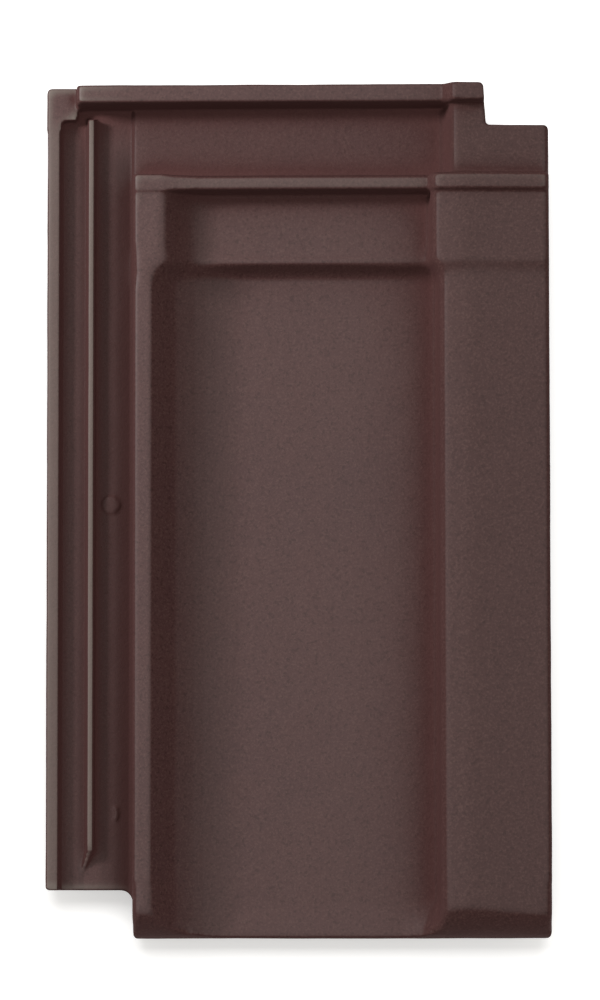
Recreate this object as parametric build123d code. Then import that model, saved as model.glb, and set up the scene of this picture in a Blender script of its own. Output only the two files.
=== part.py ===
from build123d import *
from math import radians, tan
import os

# overall sizes of the tile
overall_width = 277
overall_length = 469
lock_width = 48.5
tile_thickness = 10
joint_gap = 1.5
foot_drop = 14

# heights above the trough floor
land_rise = 20
roll_rise = 22
lock_floor_rise = 3.5
head_floor_rise = 5.5
head_roll_sink = 2

# cross-section of the body
land_width = 9.7
trough_wall_run = 12
trough_apron_run = 23
roll_margin = 13
roll_wall_run = 1.8
roll_shoulder_width = 16
roll_shoulder_drop = 1
roll_tilt = 3
land_round = 2.5
brink_round = 3
wall_round = 20
apron_round = 84
roll_foot_round = 2
roll_edge_round = 5
crest_round = 60
rim_round = 3
wall_draft = 0.8

# side lock on the left
lock_rib_rise = 5.2
outer_rib_width = 7.6
inner_rib_start = 22.6
inner_rib_width = 4.2
inner_rib_sink = 0.2
rib_draft = 0.5
rib_round = 1
channel_round = 1
lock_foot_gap = 26.5
inner_rib_foot_gap = 48
inner_rib_taper = 16
channel_head_gap = 18
inner_rib_head_gap = 17
corner_block_width = 17
corner_fillet = 3

# how the next tile's lock and this tile's cover ribs go together
side_clearance = 3
floor_clearance = 1.8
rib_clearance = 1.5

# headlap, where the tile above rests
crease_gap = 109
crease_run = 12
headlap_rise = 8
land_headlap_rise = 0.6
roll_headlap_rise = 2.5
land_inset = 7
roll_inset = 4
headlap_wall_run = 8
headlap_apron_run = 12
headlap_brink_round = 10
headlap_wall_round = 14
headlap_apron_round = 30

# ribs across the head
head_rib_gap = 59.7
head_rib_width = 10.1
head_rib_rise = 12
land_head_rib_rise = 1
roll_head_rib_rise = 3
head_flank_drop = 18
head_roll_start = 58
head_roll_run = 5
head_round = 1
head_roll_foot_round = 4
head_roll_round = 4
outer_head_rib_width = 11.6
outer_head_rib_rise = 15
outer_roll_rise = 7.5
outer_head_round = 3

# front edge
nose_run = 18
nose_bulge = 3.7
front_edge_sink = 2.5
lip_rise = 1
lip_run = 14
lip_back = 4
lip_crest_round = 4
lip_foot_round = 30
land_corner_run = 45
land_corner_set = 20
roll_corner_run = 22
roll_corner_set = 6
roll_corner_rise = 14

# plan outline
head_notch_width = 36
head_notch_lean = 1.6
head_notch_depth = 22.6
corner_round = 2.7
notch_round = 6.5
small_corner_round = 1.5

# underside
roll_wall_thickness = 11
cover_rib_draft = 1.5
front_wall = 14
hood_drop = 6
groove_depth = 11
groove_width = 15
groove_draft = 3
groove_offset = 2
under_round = 2
foot_rib_width = 10
foot_rib_setback = 4
foot_rib_draft = 1.5
batten_seat_depth = 3
batten_seat_length = 95
batten_seat_ramp = 15
nib_width = 28
nib_length = 20
nib_spacing = 100
nib_offset = -10
nib_gap = 44
nib_draft = 3

overrun = 5

wall_drop_share = 0.47
crease_shares = ((0, 0), (0.18, 0.03), (0.36, 0.16), (0.54, 0.42), (0.72, 0.76), (0.86, 1.03),
                 (0.95, 1.13), (1.05, 1.13), (1.25, 1.04), (1.6, 1))
# along the front rim from either side: way in, height and set-back left over
rim_shares = ((0, 1, 1), (0.06, 0.86, 0.72), (0.12, 0.69, 0.46), (0.2, 0.52, 0.25), (0.32, 0.34, 0.1),
              (0.48, 0.19, 0.03), (0.7, 0.07, 0), (1, 0, 0))
crest_shares = ((0.02, 0.3), (0.08, 0.75), (0.16, 0.95), (0.26, 1),
                (0.74, 1), (0.84, 0.95), (0.92, 0.75), (0.98, 0.3))
outer_crest_shares = ((0, 0), (0.1, 0.85), (0.17, 0.97), (0.25, 1), (0.9, 1), (0.96, 0.98), (1, 0.94))
tip_share = 0.15
snug_share = 0.98

left = -overall_width / 2
right = overall_width / 2
foot = -overall_length / 2
head = overall_length / 2
cover_width = overall_width + joint_gap - lock_width
next_left = left + cover_width

under_level = foot_drop
trough_level = under_level + tile_thickness
land_level = trough_level + land_rise
roll_level = trough_level + roll_rise
lock_level = trough_level + lock_floor_rise
lock_rib_level = lock_level + lock_rib_rise
head_level = trough_level + head_floor_rise
flange_level = lock_rib_level + rib_clearance
cover_rib_level = lock_level + floor_clearance
hood_level = trough_level - hood_drop
top_limit = roll_level + head_flank_drop

body_left = left + lock_width
land_right = body_left + land_width
roll_left = next_left - roll_margin
crease = head - crease_gap
headlap_start = crease + crease_run
head_rib_front = head - head_rib_gap
head_rib_back = head_rib_front + head_rib_width
outer_rib_front = head - outer_head_rib_width
lock_foot = foot + lock_foot_gap
channel_head = head - channel_head_gap
# the second foot rib hangs in the head channel of the tile below
first_foot_rib = foot + foot_rib_setback
second_foot_rib = foot + (head_rib_back + outer_rib_front - foot_rib_width) / 2 - headlap_start


def rounded_outline(points, radii):
    """A closed outline; roundings that would meet on one side are made to fit that side."""
    corners = [Vector(*point) for point in points]
    sides = [corners[place] - corners[place - 1] for place in range(len(corners))]
    ahead = sides[1:] + sides[:1]
    reaches = [tan(radians(side.get_angle(following)) / 2) for side, following in zip(sides, ahead)]
    radii = list(radii)
    for place, side in enumerate(sides):
        reach = radii[place] * reaches[place] + radii[place - 1] * reaches[place - 1]
        if reach > side.length * snug_share:
            radii[place] *= side.length * snug_share / reach
            radii[place - 1] *= side.length * snug_share / reach
    return FilletPolyline(*points, radius=radii, close=True)


def face_across(points, radii):
    """Flat cross-section, standing across the tile."""
    return make_face(Plane.XZ * rounded_outline(points, radii))


def bar_along(section, start, stop):
    """A cross-section drawn out along the tile."""
    return extrude(Pos(0, start, 0) * section, amount=stop - start, dir=(0, 1, 0))


def bar_across(points, start, stop):
    """A lengthwise outline drawn out across the tile."""
    outline = make_face(Plane.YZ * Polyline(*points, close=True))
    return extrude(Pos(start, 0, 0) * outline, amount=stop - start, dir=(1, 0, 0))


def narrowed(plain, headlap, share):
    """A size on its way from the trough to the headlap."""
    return plain + (headlap - plain) * share


def body_section(trough, land, roll, share):
    """Land, trough and roll; the share says how far the trough has narrowed to the headlap."""
    brink = land_right + land_inset * share
    wall_foot = brink + narrowed(trough_wall_run, headlap_wall_run, share)
    apron_foot = wall_foot + narrowed(trough_apron_run, headlap_apron_run, share)
    roll_edge = roll_left - roll_inset * share
    points = (
        (body_left - wall_draft, under_level),
        (body_left, land),
        (brink, land),
        (wall_foot, land - (land - trough) * wall_drop_share),
        (apron_foot, trough),
        (roll_edge - roll_wall_run, trough),
        (roll_edge, roll - roll_shoulder_drop),
        (roll_edge + roll_shoulder_width, roll),
        (right, roll - roll_tilt),
        (right, under_level),
    )
    radii = (
        0,
        land_round,
        narrowed(brink_round, headlap_brink_round, share),
        narrowed(wall_round, headlap_wall_round, share),
        narrowed(apron_round, headlap_apron_round, share),
        roll_foot_round,
        roll_edge_round,
        crest_round,
        rim_round,
        0,
    )
    return face_across(points, radii)


def headlap_section(share, rise_share):
    """Cross-section at the headlap; the shares say how far it has risen to it and to the rib."""
    return body_section(
        trough_level + headlap_rise * share + head_rib_rise * rise_share,
        land_level + land_headlap_rise * share + land_head_rib_rise * rise_share,
        roll_level + roll_headlap_rise * share + roll_head_rib_rise * rise_share,
        share,
    )


def head_section(floor, roll, start, edge_rounding):
    """Cross-section beyond the inner head rib: a flat channel that climbs to the roll."""
    points = (
        (start, under_level),
        (start, floor),
        (right - head_roll_start, floor),
        (right - head_roll_start + head_roll_run, roll),
        (right, roll - roll_tilt),
        (right, under_level),
    )
    radii = (0, edge_rounding, head_roll_foot_round, head_roll_round, rim_round, 0)
    return face_across(points, radii)


def main_body():
    """The length of the tile that shows on the roof."""
    return bar_along(headlap_section(0, 0), foot - overrun, crease)


def headlap():
    """The raised part under the tile above, with its crease."""
    stations = [Pos(0, crease + crease_run * way, 0) * headlap_section(share, 0)
                for way, share in crease_shares]
    return loft(stations, ruled=True) + bar_along(headlap_section(1, 0), headlap_start, head_rib_back)


def inner_head_rib():
    """The rib that runs over land, trough and roll behind the headlap."""
    stations = [Pos(0, head_rib_front + head_rib_width * way, 0) * headlap_section(1, share)
                for way, share in crest_shares]
    return loft(stations, ruled=True)


def head_channel():
    """The channel behind the inner head rib."""
    section = head_section(head_level, roll_level - head_roll_sink, body_left - wall_draft, head_round)
    return bar_along(section, head_rib_front, head + overrun)


def outer_head_rib():
    """The flat-topped rib along the head edge, from the corner block over the roll."""
    floor = head_level + outer_head_rib_rise
    roll = roll_level - head_roll_sink + outer_roll_rise
    stations = [
        Pos(0, outer_rib_front + outer_head_rib_width * way, 0)
        * head_section(floor - head_flank_drop * (1 - share), roll - head_flank_drop * (1 - share),
                       left + corner_block_width, outer_head_round)
        for way, share in outer_crest_shares
    ]
    return loft(stations, ruled=True)


def lock_floor():
    """Floor and outer rib of the side lock, up to the corner block at the head."""
    points = (
        (left, under_level),
        (left + rib_draft, lock_rib_level),
        (left + outer_rib_width, lock_rib_level),
        (left + outer_rib_width + rib_draft, lock_level),
        (land_right, lock_level),
        (land_right, under_level),
    )
    radii = (0, rib_round, rib_round, channel_round, 0, 0)
    return bar_along(face_across(points, radii), lock_foot - overrun, head + overrun)


def rib_section(height_share):
    """Cross-section of the inner lock rib, leaning to its left side where it gets lower."""
    height = (lock_rib_rise - inner_rib_sink) * height_share
    start = left + inner_rib_start
    points = (
        (start - rib_draft * height_share, lock_level - overrun),
        (start, lock_level + height),
        (start + inner_rib_width * height_share, lock_level + height),
        (start + (inner_rib_width + rib_draft) * height_share, lock_level - overrun),
    )
    rounding = rib_round * height_share
    return face_across(points, (0, rounding, rounding, 0))


def inner_lock_rib():
    """The narrow rib between the two channels, running out to a low point at the foot."""
    start = foot + inner_rib_foot_gap
    tip = Pos(-inner_rib_width, start - inner_rib_taper, -lock_rib_rise * tip_share) * rib_section(tip_share)
    point = loft([tip, Pos(0, start, 0) * rib_section(1)], ruled=True)
    return point + bar_along(rib_section(1), start, head - inner_rib_head_gap)


def corner_block():
    """The solid corner where the side lock meets the head lock."""
    rib_face = left + outer_rib_width + rib_draft
    side = left + corner_block_width
    reach = corner_fillet + corner_round
    points = (
        (left, channel_head - reach),
        (rib_face, channel_head - reach),
        (rib_face, channel_head),
        (side, channel_head),
        (side, outer_rib_front),
        (side + reach, outer_rib_front),
        (side + reach, head),
        (left, head),
    )
    radii = (0, 0, corner_fillet, small_corner_round, corner_fillet, 0, 0, 0)
    outline = make_face(rounded_outline(points, radii))
    return extrude(Pos(0, 0, under_level) * outline, amount=lock_rib_level - under_level)


def rim_section(place, rise, back):
    """Lengthwise section of the rim along the front of the trough."""
    points = (
        (foot - overrun, under_level),
        (foot - overrun, trough_level + rise),
        (foot + back, trough_level + rise),
        (foot + back + lip_run, trough_level),
        (foot + back + lip_run + lip_back, trough_level),
        (foot + back + lip_run + lip_back, under_level),
    )
    outline = rounded_outline(points, (0, 0, lip_crest_round, lip_foot_round, 0, 0))
    return Pos(place, 0, 0) * make_face(Plane.YZ * outline)


def front_rim():
    """The low rim along the front, climbing in a round corner to the land and to the roll."""
    start = land_right - brink_round
    land_side = [
        rim_section(start + land_corner_run * way, narrowed(lip_rise, land_rise * snug_share, height),
                    lip_back + land_corner_set * back)
        for way, height, back in rim_shares
    ]
    roll_side = [
        rim_section(roll_left - roll_corner_run * way, narrowed(lip_rise, roll_corner_rise, height),
                    lip_back + roll_corner_set * back)
        for way, height, back in reversed(rim_shares)
    ]
    return loft(land_side + roll_side, ruled=True)


def front_nose():
    """What the rounded nose takes off the front."""
    edge = (foot, trough_level - front_edge_sink)
    brow = (foot + nose_run, roll_level)
    arc = SagittaArc(edge, brow, nose_bulge)
    rest = Polyline(brow, (foot + nose_run, top_limit), (foot - overrun, top_limit),
                    (foot - overrun, trough_level - front_edge_sink), edge)
    outline = make_face(Plane.YZ * (arc + rest))
    start = left - overrun
    return extrude(Pos(start, 0, 0) * outline, amount=right + overrun - start, dir=(1, 0, 0))


def plan_outline():
    """The outline of the tile seen from above, with its two corner notches."""
    notch = right - head_notch_width
    points = (
        (left, lock_foot),
        (left, head),
        (notch, head),
        (notch + head_notch_lean, head - head_notch_depth),
        (right, head - head_notch_depth),
        (right, foot),
        (body_left, foot),
        (body_left - wall_draft, lock_foot),
    )
    radii = (corner_round, corner_round, corner_round, small_corner_round,
             corner_round, corner_round, small_corner_round, notch_round)
    return extrude(make_face(rounded_outline(points, radii)), amount=top_limit)


def roll_hollow():
    """The hollow under the roll, with the cover ribs that drop into the next tile's lock."""
    wall_lean = roll_wall_run / roll_rise
    wall_top = (roll_left - roll_wall_run + wall_lean * (flange_level - trough_level)
                + roll_wall_thickness)
    wall_bottom = wall_top - wall_lean * (flange_level - under_level)
    rib_left = next_left + outer_rib_width + rib_draft + side_clearance
    rib_right = next_left + inner_rib_start - rib_draft - side_clearance
    edge_rib = next_left + inner_rib_start + inner_rib_width + rib_draft + side_clearance
    points = (
        (wall_bottom - wall_lean * overrun, under_level - overrun),
        (wall_top, flange_level),
        (rib_left - cover_rib_draft, flange_level),
        (rib_left, cover_rib_level),
        (rib_right, cover_rib_level),
        (rib_right + cover_rib_draft, flange_level),
        (edge_rib - cover_rib_draft, flange_level),
        (edge_rib, cover_rib_level),
        (right + overrun, cover_rib_level),
        (right + overrun, under_level - overrun),
    )
    radii = (0,) + (under_round,) * (len(points) - 3) + (0, 0)
    return bar_along(face_across(points, radii), foot + front_wall, head + overrun)


def front_hood():
    """What is open below the front wall of the roll."""
    return bar_across(
        (
            (foot - overrun, under_level - overrun),
            (foot - overrun, hood_level),
            (foot + front_wall + overrun, hood_level),
            (foot + front_wall + overrun, under_level - overrun),
        ), roll_left + roll_wall_thickness, right + overrun)


def land_groove():
    """The relief groove under the land."""
    middle = land_right + groove_offset
    half = groove_width / 2
    points = (
        (middle - half, under_level - overrun),
        (middle - half, under_level),
        (middle - half + groove_draft, under_level + groove_depth),
        (middle + half - groove_draft, under_level + groove_depth),
        (middle + half, under_level),
        (middle + half, under_level - overrun),
    )
    section = face_across(points, (0, 0, under_round, under_round, 0, 0))
    return bar_along(section, second_foot_rib + foot_rib_width, head_rib_front)


def batten_seat():
    """What is taken off under the head, where the batten lies in front of the nibs."""
    start = head - batten_seat_length
    points = (
        (start, under_level - overrun),
        (start, under_level),
        (start + batten_seat_ramp, under_level + batten_seat_depth),
        (head + overrun, under_level + batten_seat_depth),
        (head + overrun, under_level - overrun),
    )
    return bar_across(points, left - overrun, right + overrun)


def foot_rib(start):
    """One rib across the underside at the foot, down to the floor."""
    points = (
        (start, under_level + overrun),
        (start + foot_rib_draft, 0),
        (start + foot_rib_width - foot_rib_draft, 0),
        (start + foot_rib_width, under_level + overrun),
    )
    return bar_across(points, body_left, roll_left - roll_wall_run)


def nib(middle):
    """One hanging nib, with an upright face towards the foot."""
    bottom = head - nib_gap
    top = under_level + batten_seat_depth + overrun
    points = (
        (bottom, top),
        (bottom, 0),
        (bottom + nib_length - nib_draft, 0),
        (bottom + nib_length, top),
    )
    return bar_across(points, middle - nib_width / 2, middle + nib_width / 2)


def tile_solid():
    body = main_body() + headlap() + inner_head_rib() + head_channel() + outer_head_rib()
    body += front_rim()
    body -= roll_hollow() + front_hood() + land_groove()
    body += lock_floor() + inner_lock_rib() + corner_block()
    body -= batten_seat()
    body &= plan_outline()
    body -= front_nose()
    for side in (-1, 1):
        body += nib(nib_offset + side * nib_spacing / 2)
    for start in (first_foot_rib, second_foot_rib):
        body += foot_rib(start)
    return body


os.makedirs("parts", exist_ok=True)
export_step(tile_solid(), "parts/roof_tile.step")
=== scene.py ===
from math import cos, pi, sin

import bpy
from mathutils import Matrix, Vector


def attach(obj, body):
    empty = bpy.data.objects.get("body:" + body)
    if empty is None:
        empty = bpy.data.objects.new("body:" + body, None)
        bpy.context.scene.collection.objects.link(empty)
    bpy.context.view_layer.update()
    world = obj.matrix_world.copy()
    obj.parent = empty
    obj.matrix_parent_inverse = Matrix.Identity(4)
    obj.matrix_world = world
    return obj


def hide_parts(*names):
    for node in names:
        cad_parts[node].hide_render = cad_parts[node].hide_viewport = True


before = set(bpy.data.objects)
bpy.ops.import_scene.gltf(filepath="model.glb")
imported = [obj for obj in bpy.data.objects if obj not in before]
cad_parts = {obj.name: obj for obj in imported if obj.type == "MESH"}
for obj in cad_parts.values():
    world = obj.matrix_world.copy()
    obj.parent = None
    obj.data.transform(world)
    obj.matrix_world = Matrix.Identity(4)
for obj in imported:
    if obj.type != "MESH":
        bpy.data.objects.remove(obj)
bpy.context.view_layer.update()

# the photograph's frame
image_height = 1000
sensor = 36.0

# where the camera stands
target = Vector((0.0013, 0.0058, 0.03))
camera_distance = 2.6
camera_pitch = 0.0797
camera_yaw = 0.02
camera_roll = -0.001
focal_pixels = 4728.0

# pressed clay
merge_gap = 0.000001
arris_voxel = 0.0009
arris_passes = 3
smooth_factor = 0.5
wave_height = 0.0004
wave_length = 0.03
triangle_budget = 190000

# the blunt nose, the soft arris of the roll and the soft crease below the headlap
nose_start = -0.203
nose_side = -0.1
nose_foot = 0.030
nose_passes = 70
underside = -0.2
roll_arris = (0.070, 0.090)
roll_arris_core = 0.004
roll_arris_end = 0.125
roll_arris_share = 0.3
crease_line = 0.134
crease_width = 0.013
crease_core = 0.004
crease_middle = 0.028
crease_ends = 0.055
crease_share = 0.06

# marks left on the floor of the side lock
lock_floor = 0.0275
mark_place = (-0.1029, 0.0035, lock_floor)
mark_radius = 0.0046
mark_depth = 0.0017
mark_sides = 32
crumb_place = (-0.0993, -0.1662, lock_floor)
crumb_bend = 0.006
crumb_turn = 0.55
crumb_radius = 0.0010
crumb_sides = 12
crumb_steps = 8

# the run-out of the inner lock rib
runout_sides = (-0.125, -0.110)
runout_end = -0.203
runout_length = 0.020

# where the finish, the painted shade and the painted light change: the place or turn at which a change
# starts, and where it is complete
# the colour darkens and the sheen drops towards the roll side
toward_roll_side = (0.04, 0.10)
lock_side = (0.0, -0.09)
roll_side = (0.03, 0.05)
# crests here get a grey colour that is partly wear and partly a painted highlight
rubbed_and_highlit_side = (-0.08, -0.12)
head_rib_start = (0.165, 0.172)
head_rib_end = (0.205, 0.195)
# the lock channel gets painted shade along its floor and at the feet of its walls, up to its head
channel_start = (-0.111, -0.106)
wall_foot_shade_start = (-0.1035, -0.0985)
wall_foot_shade_end = (-0.0905, -0.0935)
rib_foot_shade_start = (-0.1225, -0.1195)
rib_foot_shade_end = (-0.1165, -0.1180)
channel_shade_head = (0.21, 0.19)
steep_turn = (0.997, 0.85)
# faces turned to the foot get painted shade
foot_turn = (-0.5, -0.95)
# faces turned this way, towards the key lamp, get painted shade
key_side_way = (-0.89, 0.45, 0.0)
key_side_turn = (0.03, 0.5)

# how open a place is where it counts as hollow, as deep and as a crest, and how far that looks
openness_samples = 8
hollow_reach = 0.05
hollow_openness = (0.95, 0.72)
deep_openness = (0.80, 0.45)
crest_reach = 0.006
crest_openness = (0.97, 0.5)

# the patterns in the engobe: size and detail of each, and the values between which it shows
noise_roughness = 0.6
cloud_noise, cloud_range = (9.0, 3.0), (0.3, 0.7)
patch_noise, patch_range = (55.0, 4.0), (0.35, 0.75)
grain_noise, grain_range = (800.0, 2.0), (0.45, 0.7)
speck_noise, speck_range = (520.0, 3.0), (0.52, 0.68)

# the colours of the engobe and of the painted shade and painted light on it, and how much of each shows at
# most
clay_dark = (0.071, 0.033, 0.033, 1)
clay_light = (0.079, 0.037, 0.036, 1)
patch_colour, patch_share = (0.082, 0.037, 0.035, 1), 0.5
# the darker colour towards the roll side
toward_roll_colour, toward_roll_share = (0.054, 0.025, 0.023, 1), 0.4
grain_colour, grain_share = (0.110, 0.058, 0.053, 1), 0.65
speck_colour, speck_share = (0.036, 0.016, 0.015, 1), 0.5
# painted shade in the hollows, stronger on the side lock
hollow_shade_colour, hollow_shade_share, lock_shade_share = (0.058, 0.024, 0.023, 1), 0.4, 0.4
# painted bounce light that lifts the deepest shade, less on faces turned to the key lamp
deep_bounce_colour, deep_bounce_share, deep_bounce_key_side_share = (0.125, 0.054, 0.052, 1), 0.9, 0.6
# painted shade on faces turned to the key lamp, less on the roll side; the same colour paints the shade in
# the lock channel
shade_colour, key_side_shade_share, roll_wall_share = (0.038, 0.016, 0.015, 1), 0.6, 0.35
# how much painted shade the lock channel gets along its floor and at the feet of its walls
channel_shade_share, wall_foot_shade_share, rib_foot_shade_share = 0.35, 0.4, 0.5
# painted shade on faces turned to the foot
foot_shade_colour, foot_shade_share = (0.045, 0.020, 0.019, 1), 0.5
# grey crest colour: partly wear, partly a painted highlight
crest_wear_and_highlight_colour, head_rib_share = (0.150, 0.118, 0.104, 1), 0.6

# the relief and the sheen of the engobe
grain_height = 0.5
speck_height = 0.8
patch_height = 2.0
bump_strength = 0.5
bump_distance = 0.0004
dull_roughness = 0.7
patch_roughness = 0.10
grain_roughness = 0.06
glass_index = 1.5
dull_specular = 0.06
sheen_roughness = 0.5
toward_roll_sheen_loss = 0.25

# the light in the room
ceiling = (-0.2, 0.5, 0.84)
ceiling_edge = -0.3
ceiling_core = 0.5
ceiling_strength = 0.41
room_strength = 0.27
daylight = (1.0, 0.98, 0.93)
backdrop_top = 0.45
backdrop_foot = 0.25
white = (1, 1, 1, 1)
key_place = (-0.9, 0.45, 0.45)
key_size = (0.16, 0.16)
key_power = 11.4
floor_size = 8.0
floor_colour = (0.8, 0.8, 0.8, 1.0)
floor_lamp_place = (0.0, 0.6, 1.8)
floor_lamp_size = (1.4, 0.8)
floor_lamp_power = 28.0
floor_glow = 0.42


class Value:
    """A socket of a material's node tree, with arithmetic on it."""

    def __init__(self, paint, socket):
        self.paint = paint
        self.socket = socket

    def maths(self, operation, first, second):
        return self.paint.node("ShaderNodeMath", {"operation": operation}, {0: first, 1: second})

    def __add__(self, other):
        return self.maths("ADD", self, other)

    __radd__ = __add__

    def __mul__(self, other):
        return self.maths("MULTIPLY", self, other)

    __rmul__ = __mul__

    def __sub__(self, other):
        return self.maths("SUBTRACT", self, other)

    def __rsub__(self, other):
        return self.maths("SUBTRACT", other, self)

    def clamped(self):
        return self.paint.node("ShaderNodeClamp", {}, {"Value": self})

    def between(self, low, high):
        """0 at low, 1 at high, with a smooth step."""
        return self.paint.node("ShaderNodeMapRange", {"interpolation_type": "SMOOTHSTEP"}, {
            "Value": self, "From Min": low, "From Max": high, "To Min": 0.0, "To Max": 1.0,
        })


class Paint:
    """A material or world, and the nodes added to it."""

    def __init__(self, owner):
        owner.use_nodes = True
        self.tree = owner.node_tree
        self.tree.nodes.clear()

    def node(self, kind, settings=None, sockets=None, output=0):
        added = self.tree.nodes.new(kind)
        for name, value in (settings or {}).items():
            setattr(added, name, value)
        for name, value in (sockets or {}).items():
            if isinstance(value, Value):
                self.tree.links.new(value.socket, added.inputs[name])
            else:
                added.inputs[name].default_value = value
        return Value(self, added.outputs[output] if added.outputs else None)

    def axis(self, vector, letter):
        return self.node("ShaderNodeSeparateXYZ", {}, {0: vector}, letter)

    def along_way(self, vector, way):
        """How far a vector points along a way."""
        return self.node("ShaderNodeVectorMath", {"operation": "DOT_PRODUCT"}, {0: vector, 1: way}, "Value")

    def seen(self):
        """1 where the background is looked at, straight or in a reflection."""
        rays = [self.node("ShaderNodeLightPath", {}, {}, f"Is {kind} Ray")
                for kind in ("Camera", "Glossy", "Transmission")]
        return (rays[0] + rays[1] + rays[2]).clamped()

    def blend(self, share, first, second):
        """Colour between two colours."""
        return self.node("ShaderNodeMix", {"data_type": "RGBA"}, {0: share, 6: first, 7: second}, 2)


def engobe():
    """Dark brown engobe: satin where it lies flat, dull in the hollows. Painted shade makes the hollows
    darker and redder, and darkens the lock channel and the faces turned to the foot or to the key lamp;
    painted bounce light lifts the deepest hollows; the crests are grey, partly from wear and partly as a
    painted highlight; the colour darkens towards the roll side.
    """
    material = bpy.data.materials.new("engobe")
    paint = Paint(material)
    place = paint.node("ShaderNodeTexCoord", {}, {}, "Object")
    normal = paint.node("ShaderNodeTexCoord", {}, {}, "Normal")

    def noise(scale, detail):
        return paint.node("ShaderNodeTexNoise", {"noise_dimensions": "3D"}, {
            "Vector": place, "Scale": scale, "Detail": detail, "Roughness": noise_roughness,
        })

    def openness(reach, inside):
        return paint.node("ShaderNodeAmbientOcclusion", {
            "samples": openness_samples, "only_local": True, "inside": inside,
        }, {"Distance": reach}, "AO")

    across = paint.axis(place, "X")
    along = paint.axis(place, "Y")
    steep = paint.axis(normal, "Z").between(*steep_turn)
    # faces turned to the foot, where painted shade goes
    foot = paint.axis(normal, "Y").between(*foot_turn)
    # thin: faces turned towards the key lamp, where painted shade goes
    thin = paint.along_way(normal, key_side_way).between(*key_side_turn)
    # darker towards the roll side
    toward_roll = across.between(*toward_roll_side)
    lock = across.between(*lock_side)
    sky = openness(hollow_reach, False)
    # hollow: where painted shade goes and where the sheen is dull
    hollow = sky.between(*hollow_openness)
    # deep: where painted bounce light lifts the colour
    deep = sky.between(*deep_openness)

    # crests: grey colour that is partly wear and partly a painted highlight
    head_rib = along.between(*head_rib_start) * along.between(*head_rib_end)
    rubbed_and_highlit = (across.between(*rubbed_and_highlit_side) + head_rib * head_rib_share).clamped()
    crest = openness(crest_reach, True).between(*crest_openness) * rubbed_and_highlit * (1.0 - steep)

    # painted shade in the lock channel and at the feet of its walls
    channel = across.between(*channel_start) * across.between(*wall_foot_shade_end)
    wall_foot_shade = across.between(*wall_foot_shade_start) * across.between(*wall_foot_shade_end)
    rib_foot_shade = across.between(*rib_foot_shade_start) * across.between(*rib_foot_shade_end)
    channel_shades = channel * channel_shade_share + wall_foot_shade * wall_foot_shade_share + rib_foot_shade * rib_foot_shade_share
    channel_shade = (channel_shades * along.between(*channel_shade_head)).clamped()

    clouds = noise(*cloud_noise)
    patches = noise(*patch_noise)
    grain = noise(*grain_noise)
    specks = noise(*speck_noise)
    # less of the painted shade on faces turned to the key lamp towards the roll side
    roll_wall = 1.0 - across.between(*roll_side) * roll_wall_share
    colour = paint.blend(clouds.between(*cloud_range), clay_dark, clay_light)
    for share, layer in (
        (patches.between(*patch_range) * patch_share, patch_colour),
        (toward_roll * toward_roll_share, toward_roll_colour),
        (grain.between(*grain_range) * grain_share, grain_colour),
        (specks.between(*speck_range) * speck_share, speck_colour),
        (hollow * (lock * lock_shade_share + hollow_shade_share), hollow_shade_colour),
        (deep * (1.0 - thin * deep_bounce_key_side_share) * deep_bounce_share, deep_bounce_colour),
        (thin * roll_wall * key_side_shade_share, shade_colour),
        (channel_shade, shade_colour),
        (foot * foot_shade_share, foot_shade_colour),
        (crest, crest_wear_and_highlight_colour),
    ):
        colour = paint.blend(share, colour, layer)

    height = grain * grain_height + specks * speck_height + patches * patch_height
    bump = paint.node("ShaderNodeBump", {}, {
        "Strength": bump_strength, "Distance": bump_distance, "Height": height,
    })
    surface = paint.node("ShaderNodeBsdfPrincipled", {}, {
        "Base Color": colour,
        "Roughness": dull_roughness + patches * patch_roughness + grain * grain_roughness,
        "IOR": glass_index,
        "Specular IOR Level": dull_specular,
        "Coat Weight": (1.0 - steep) * (1.0 - hollow) * (1.0 - toward_roll * toward_roll_sheen_loss),
        "Coat Roughness": sheen_roughness,
        "Coat IOR": glass_index,
        "Normal": bump,
    })
    paint.node("ShaderNodeOutputMaterial", {}, {"Surface": surface})
    return material


def join_marks(tile):
    """A plain round press mark and a curved crumb of clay, joined to the tile."""
    bpy.ops.object.select_all(action="DESELECT")
    bpy.ops.mesh.primitive_cylinder_add(
        vertices=mark_sides, radius=mark_radius, depth=mark_depth, location=mark_place)
    mark = bpy.context.object
    bend = Vector(crumb_place) - Vector((crumb_bend, 0, 0))
    start = bend + crumb_bend * Vector((cos(crumb_turn), -sin(crumb_turn), 0))
    bpy.ops.mesh.primitive_circle_add(
        vertices=crumb_sides, radius=crumb_radius, fill_type="NGON", location=start,
        rotation=(pi / 2, 0, -crumb_turn))
    crumb = bpy.context.object
    bpy.ops.object.mode_set(mode="EDIT")
    bpy.ops.mesh.select_all(action="SELECT")
    bpy.ops.mesh.spin(steps=crumb_steps, angle=-2 * crumb_turn, center=bend, axis=(0, 0, 1))
    bpy.ops.object.mode_set(mode="OBJECT")
    mark.select_set(True)
    crumb.select_set(True)
    tile.select_set(True)
    bpy.context.view_layer.objects.active = tile
    bpy.ops.object.join()


def ramp(value, low, high):
    """0 up to low, 1 from high on."""
    return min(1.0, max(0.0, (value - low) / (high - low)))


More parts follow.
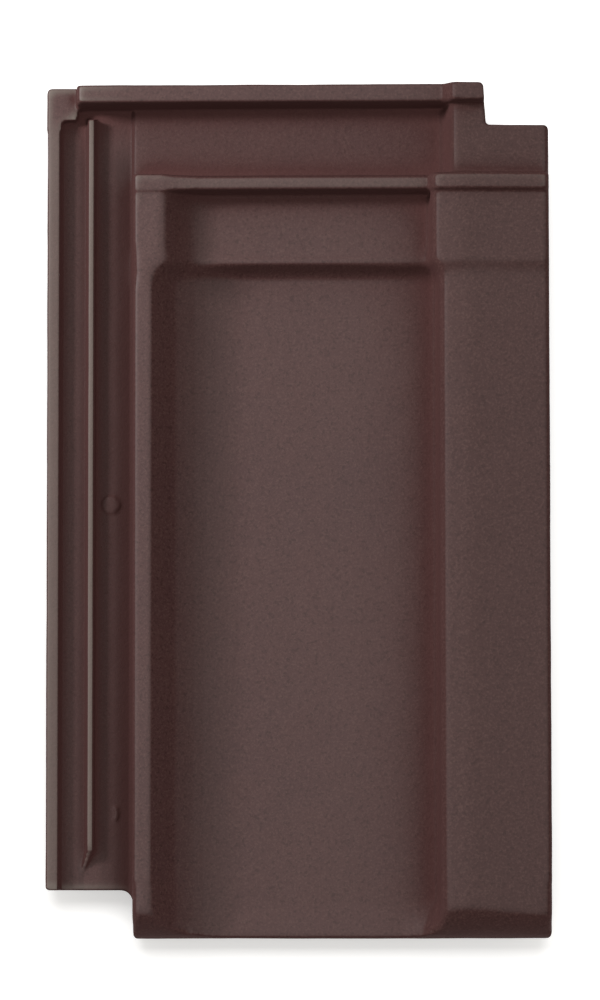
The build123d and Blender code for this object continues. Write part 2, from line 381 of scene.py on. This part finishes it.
def bluntness(vertex):
    """How much a point is rounded off: the nose most, the roll's arris and the crease less."""
    x, y, z = vertex.co
    if x < nose_side or vertex.normal.z < underside:
        return 0.0
    if y < nose_start:
        return 0.0 if z < nose_foot else 1.0
    arris = 0.0
    if y < roll_arris_end:
        middle = (roll_arris[0] + roll_arris[1]) / 2
        arris = roll_arris_share * ramp(abs(x - middle), roll_arris[1] - middle, roll_arris_core)
    crease = ramp(abs(y - crease_line), crease_width, crease_core)
    crease *= crease_share + (1.0 - crease_share) * ramp(abs(x), crease_middle, crease_ends)
    return max(arris, crease * ramp(x, roll_arris[1], roll_arris[0]))


def run_out(tile):
    """Lower the inner lock rib towards its point."""
    for vertex in tile.data.vertices:
        left = (vertex.co.y - runout_end) / runout_length
        on_rib = runout_sides[0] < vertex.co.x < runout_sides[1] and vertex.co.z > lock_floor
        if left < 1.0 and on_rib:
            vertex.co.z = lock_floor + (vertex.co.z - lock_floor) * max(0.0, left)


def blunt_group(tile):
    """The points that are rounded off, each with its share."""
    group = tile.vertex_groups.new(name="rounded")
    for vertex in tile.data.vertices:
        share = bluntness(vertex)
        if share:
            group.add([vertex.index], share, "REPLACE")
    return group.name


def work(tile, name, kind, settings):
    """Add a modifier to the tile and apply it."""
    modifier = tile.modifiers.new(name, kind)
    for setting, value in settings.items():
        setattr(modifier, setting, value)
    bpy.ops.object.modifier_apply(modifier=modifier.name)


def pressed_tile():
    """The tile with the soft arrises that a press leaves on clay."""
    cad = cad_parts["roof_tile"]
    tile = cad.copy()
    tile.data = cad.data.copy()
    tile.name = "pressed_tile"
    bpy.context.scene.collection.objects.link(tile)
    bpy.ops.object.select_all(action="DESELECT")
    tile.select_set(True)
    bpy.context.view_layer.objects.active = tile
    bpy.ops.object.mode_set(mode="EDIT")
    bpy.ops.mesh.select_all(action="SELECT")
    bpy.ops.mesh.remove_doubles(threshold=merge_gap)
    bpy.ops.object.mode_set(mode="OBJECT")
    join_marks(tile)
    work(tile, "voxels", "REMESH", {"mode": "VOXEL", "voxel_size": arris_voxel})
    work(tile, "soften", "SMOOTH", {"factor": smooth_factor, "iterations": arris_passes})
    run_out(tile)
    work(tile, "blunt", "SMOOTH", {
        "vertex_group": blunt_group(tile), "factor": smooth_factor, "iterations": nose_passes,
    })
    waves = bpy.data.textures.new("waves", "CLOUDS")
    waves.noise_scale = wave_length
    work(tile, "warp", "DISPLACE", {
        "texture": waves, "strength": wave_height, "texture_coords": "LOCAL",
    })
    triangles = 2 * len(tile.data.polygons)
    work(tile, "thin", "DECIMATE", {"ratio": min(1.0, triangle_budget / triangles)})
    bpy.ops.object.shade_smooth()
    tile.data.materials.clear()
    tile.data.materials.append(engobe())
    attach(tile, "root")
    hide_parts("roof_tile")
    return tile


def floor():
    """A pale card that looks white and keeps the tile's shadow."""
    bpy.ops.object.select_all(action="DESELECT")
    bpy.ops.mesh.primitive_plane_add(size=floor_size, location=(0, 0, 0))
    plane = bpy.context.object
    plane.name = "floor"
    material = bpy.data.materials.new("white_floor")
    paint = Paint(material)
    card = paint.node("ShaderNodeBsdfDiffuse", {}, {"Color": floor_colour})
    glow = paint.node("ShaderNodeEmission", {}, {"Color": white, "Strength": floor_glow})
    bright = paint.node("ShaderNodeAddShader", {}, {0: card, 1: glow})
    mixed = paint.node("ShaderNodeMixShader", {}, {0: paint.seen(), 1: card, 2: bright})
    paint.node("ShaderNodeOutputMaterial", {}, {"Surface": mixed})
    plane.data.materials.append(material)
    return plane


def lamp(name, place, size, power, lit):
    """A softbox aimed at the tile; lit is the only thing that it lights."""
    data = bpy.data.lights.new(name, "AREA")
    data.shape = "RECTANGLE"
    data.size, data.size_y = size
    data.energy = power
    softbox = bpy.data.objects.new(name, data)
    bpy.context.scene.collection.objects.link(softbox)
    softbox.location = place
    softbox.rotation_euler = (-Vector(place)).to_track_quat("-Z", "Y").to_euler()
    group = bpy.data.collections.new("lit_" + lit.name)
    group.objects.link(lit)
    softbox.light_linking.receiver_collection = group


def studio(tile, plane):
    """A room that is bright above the head of the tile and dim beyond its foot."""
    world = bpy.data.worlds.new("studio")
    bpy.context.scene.world = world
    paint = Paint(world)
    way = paint.node("ShaderNodeTexCoord", {}, {}, "Generated")
    facing = paint.along_way(way, Vector(ceiling).normalized())
    glow = facing.between(ceiling_edge, ceiling_core) * ceiling_strength + room_strength
    room = paint.node("ShaderNodeBackground", {}, {"Color": daylight + (1,), "Strength": glow})
    backdrop = paint.node("ShaderNodeBackground", {}, {"Color": white, "Strength": 1.0})
    low = paint.axis(way, "Z").between(backdrop_top, backdrop_foot)
    mixed = paint.node("ShaderNodeMixShader", {}, {0: paint.seen() * low, 1: room, 2: backdrop})
    paint.node("ShaderNodeOutputWorld", {}, {"Surface": mixed})
    lamp("key_softbox", key_place, key_size, key_power, tile)
    lamp("floor_softbox", floor_lamp_place, floor_lamp_size, floor_lamp_power, plane)


def camera():
    """A camera far above the tile, as the photograph was taken."""
    data = bpy.data.cameras.new("camera")
    data.sensor_width = sensor
    data.lens = focal_pixels * sensor / image_height
    view = bpy.data.objects.new("camera", data)
    bpy.context.scene.collection.objects.link(view)
    turn = (Matrix.Rotation(camera_yaw, 3, "Y") @ Matrix.Rotation(camera_pitch, 3, "X")
            @ Matrix.Rotation(camera_roll, 3, "Z"))
    place = target + turn @ Vector((0, 0, camera_distance))
    view.matrix_world = Matrix.Translation(place) @ turn.to_4x4()
    bpy.context.scene.camera = view


tile = pressed_tile()
plane = floor()
studio(tile, plane)
camera()
bpy.context.scene.view_settings.view_transform = "Standard"
